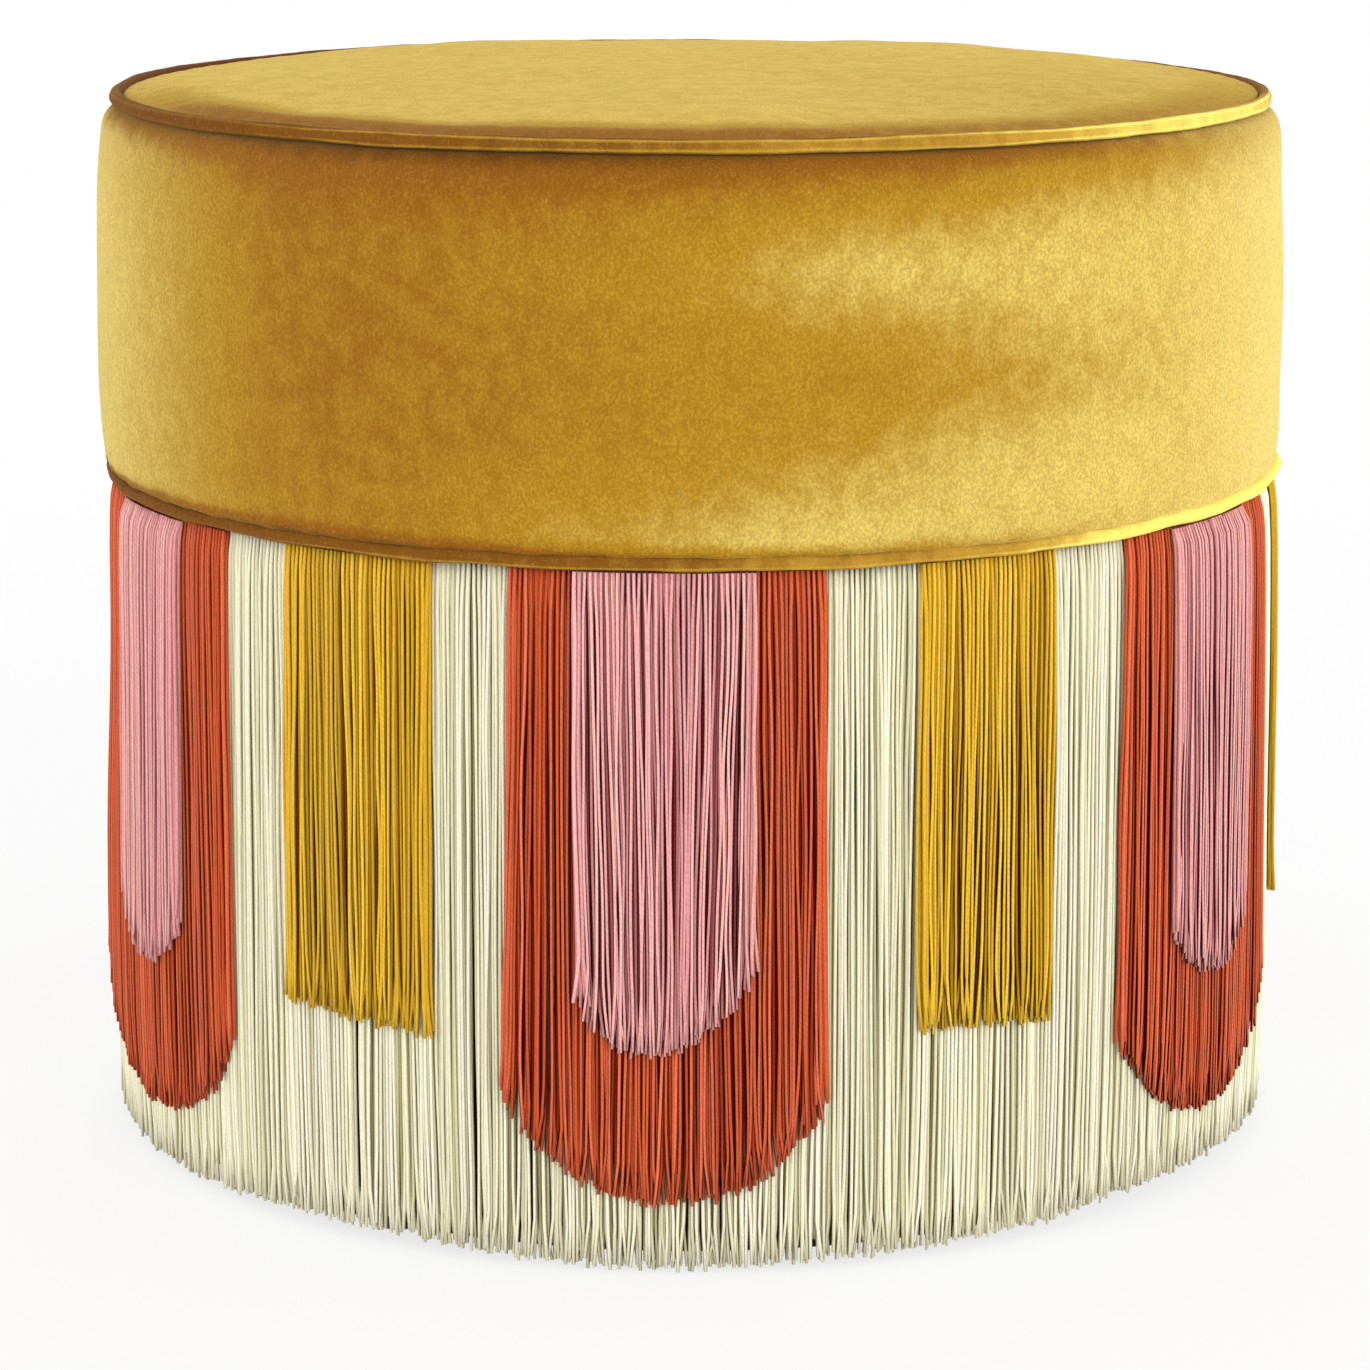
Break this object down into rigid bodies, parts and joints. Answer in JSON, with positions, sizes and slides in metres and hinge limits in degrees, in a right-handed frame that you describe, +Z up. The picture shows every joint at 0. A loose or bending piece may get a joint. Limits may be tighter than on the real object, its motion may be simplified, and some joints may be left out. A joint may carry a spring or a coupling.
{
  "type": "fringed pouf",
  "caption": "Round upholstered pouf with a piped velvet seat on a covered plinth, hidden by a floor-length cord fringe in layered coloured panels.",
  "frame": {"origin": "on the floor, under the middle of the seat", "axes": "+Z up along the pouf's middle line, -Y towards the front terracotta and pink panel, +X to the right seen from the front"},
  "size_m": [0.5, 0.4998, 0.4452],
  "materials": {
    "velvet": "mustard short-pile velvet",
    "piping_cord": "twisted cotton cord",
    "foam": "open-cell polyurethane foam",
    "wadding": "polyester wadding",
    "plywood": "bare birch plywood",
    "pine": "planed pine",
    "bent_board": "thin brown hardboard",
    "black_cloth": "black woven cotton",
    "dust_felt": "black bonded felt",
    "glide_plastic": "moulded black plastic",
    "zinc_steel": "zinc-plated steel",
    "cream_yarn": "cream twisted fringe cord",
    "ochre_yarn": "ochre twisted fringe cord",
    "terracotta_yarn": "terracotta twisted fringe cord",
    "pink_yarn": "dusty pink twisted fringe cord"
  },
  "bodies": {
    "root": {"base_ring": "plywood", "bottom_welt_cord": "piping_cord", "bottom_welt_cover": "velvet", "cream_fringe_1": "cream_yarn", "cream_fringe_2": "cream_yarn", "cream_fringe_3": "cream_yarn", "cream_fringe_4": "cream_yarn", "cream_fringe_5": "cream_yarn", "cream_fringe_6": "cream_yarn", "dust_cover": "dust_felt", "flanged_nuts": "zinc_steel", "glide_1": "glide_plastic", "glide_2": "glide_plastic", "glide_3": "glide_plastic", "glide_4": "glide_plastic", "glide_5": "glide_plastic", "glide_6": "glide_plastic", "glide_nails": "zinc_steel", "ochre_fringe_1": "ochre_yarn", "ochre_fringe_2": "ochre_yarn", "ochre_fringe_3": "ochre_yarn", "ochre_fringe_4": "ochre_yarn", "ochre_fringe_5": "ochre_yarn", "ochre_fringe_6": "ochre_yarn", "pink_fringe_1": "pink_yarn", "pink_fringe_2": "pink_yarn", "pink_fringe_3": "pink_yarn", "pink_fringe_4": "pink_yarn", "pink_fringe_5": "pink_yarn", "pink_fringe_6": "pink_yarn", "plinth_cloth": "black_cloth", "plinth_post_1": "pine", "plinth_post_2": "pine", "plinth_post_3": "pine", "plinth_post_4": "pine", "plinth_post_5": "pine", "plinth_post_6": "pine", "plinth_screws": "zinc_steel", "plinth_top_ring": "plywood", "plinth_wrap": "bent_board", "seat_board": "plywood", "seat_bolts": "zinc_steel", "seat_foam": "foam", "seat_washers": "zinc_steel", "side_wadding": "wadding", "staples": "zinc_steel", "terracotta_fringe_1": "terracotta_yarn", "terracotta_fringe_2": "terracotta_yarn", "terracotta_fringe_3": "terracotta_yarn", "terracotta_fringe_4": "terracotta_yarn", "terracotta_fringe_5": "terracotta_yarn", "terracotta_fringe_6": "terracotta_yarn", "top_foam": "foam", "top_wadding": "wadding", "top_welt_cord": "piping_cord", "top_welt_cover": "velvet", "velvet_side": "velvet", "velvet_top": "velvet"}
  },
  "joints": []
}
